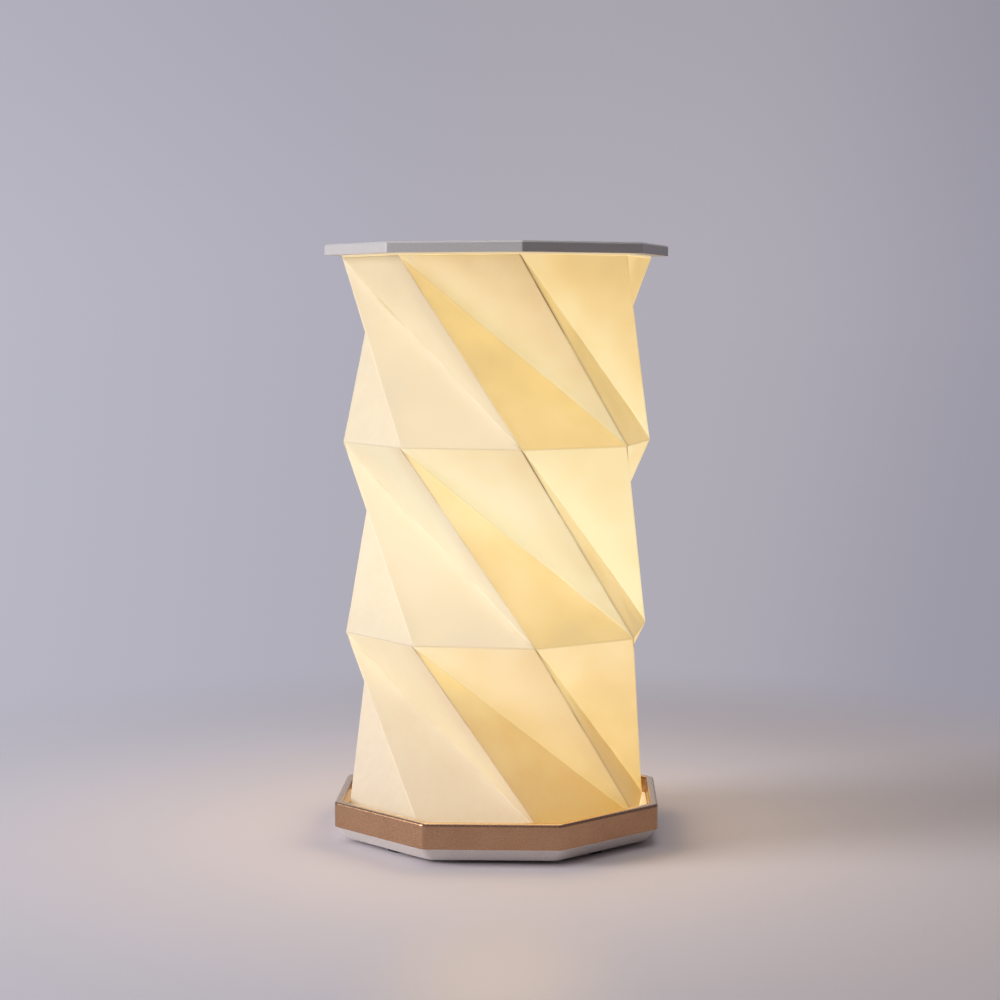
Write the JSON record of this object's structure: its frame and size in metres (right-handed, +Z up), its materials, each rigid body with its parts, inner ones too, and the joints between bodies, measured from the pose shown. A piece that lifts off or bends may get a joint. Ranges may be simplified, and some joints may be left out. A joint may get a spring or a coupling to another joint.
{
  "type": "folding paper table lamp",
  "caption": "Cordless table lamp with an octagonal paper shade folded in twisting tiers between a flat top plate and a shallow metal tray base; it folds flat.",
  "frame": {"origin": "centre of the base's underside, on the surface that the lamp stands on", "axes": "+Z up through the shade's axis; -Y towards a flat side of the base, the front; +Y the service side with the charging socket and the power button"},
  "size_m": [0.1316, 0.1316, 0.2282],
  "materials": {
    "rim_bronze": "satin",
    "shell_silver": "satin",
    "foot_rubber": "matte",
    "screw_steel": "satin",
    "deck_white": "matte",
    "light_board": "matte",
    "light_chips": "satin",
    "diffuser_opal": "satin",
    "magnet_nickel": "polished",
    "pad_foam": "matte",
    "cell_foil": "satin",
    "control_board": "satin",
    "chip_black": "satin",
    "socket_steel": "satin",
    "indicator_clear": "gloss",
    "shade_paper": "matte",
    "plate_grey": "satin",
    "reflector_white": "satin",
    "button_silver": "satin",
    "lead_wire": "satin"
  },
  "bodies": {
    "base": {"base_rim": "rim_bronze", "base_shell": "shell_silver", "foot_pads": "foot_rubber", "case_screws": "screw_steel", "tray_deck": "deck_white", "light_board": "light_board", "light_board_screws": "screw_steel", "light_chips": "light_chips", "diffuser": "diffuser_opal", "base_magnet": "magnet_nickel", "cell_pad": "pad_foam", "battery_cell": "cell_foil", "control_board": "control_board", "control_chips": "chip_black", "board_screws": "screw_steel", "charging_socket": "socket_steel", "button_switch": "chip_black", "indicator_pipe": "indicator_clear", "shade_bottom_flange": "shade_paper", "shade_1_rising_facets": "shade_paper", "light_leads": "lead_wire", "cell_leads": "lead_wire"},
    "power_button": {"power_button": "button_silver"},
    "fold_1": {"shade_1_hanging_facets": "shade_paper"},
    "ring_1": {"shade_2_rising_facets": "shade_paper"},
    "fold_2": {"shade_2_hanging_facets": "shade_paper"},
    "ring_2": {"shade_3_rising_facets": "shade_paper"},
    "fold_3": {"shade_3_hanging_facets": "shade_paper"},
    "top": {"shade_top_flange": "shade_paper", "top_plate": "plate_grey", "top_reflector": "reflector_white", "reflector_screws": "screw_steel", "top_magnet": "magnet_nickel"}
  },
  "joints": [
    {"name": "tier_1_fold", "type": "slide", "parent": "base", "child": "fold_1", "axis": [0, 0, -1], "range_m": [0, 0.0679], "deforming": ["shade_1_rising_facets", "shade_1_hanging_facets"]},
    {"name": "tier_1_twist", "type": "hinge", "parent": "fold_1", "child": "ring_1", "pos_m": [0, 0, 0.0801], "axis": [0, 0, -1], "range_deg": [0, 40.8]},
    {"name": "tier_2_fold", "type": "slide", "parent": "ring_1", "child": "fold_2", "axis": [0, 0, -1], "range_m": [0, 0.071], "deforming": ["shade_2_rising_facets", "shade_2_hanging_facets"]},
    {"name": "tier_2_twist", "type": "hinge", "parent": "fold_2", "child": "ring_2", "pos_m": [0, 0, 0.1529], "axis": [0, 0, -1], "range_deg": [0, 38.8]},
    {"name": "tier_3_fold", "type": "slide", "parent": "ring_2", "child": "fold_3", "axis": [0, 0, -1], "range_m": [0, 0.0687], "deforming": ["shade_3_rising_facets", "shade_3_hanging_facets"]},
    {"name": "tier_3_twist", "type": "hinge", "parent": "fold_3", "child": "top", "pos_m": [0, 0, 0.2234], "axis": [0, 0, -1], "range_deg": [0, 43.1]},
    {"name": "power_press", "type": "slide", "parent": "base", "child": "power_button", "axis": [0, -1, 0], "range_m": [0, 0.0003], "stiffness_N_per_m": 4000}
  ],
  "couplings": [
    {"joint": "tier_1_twist", "follows": "tier_1_fold", "rad_per_m": 10.436},
    {"joint": "tier_2_twist", "follows": "tier_2_fold", "rad_per_m": 9.4887},
    {"joint": "tier_3_twist", "follows": "tier_3_fold", "rad_per_m": 10.899}
  ]
}
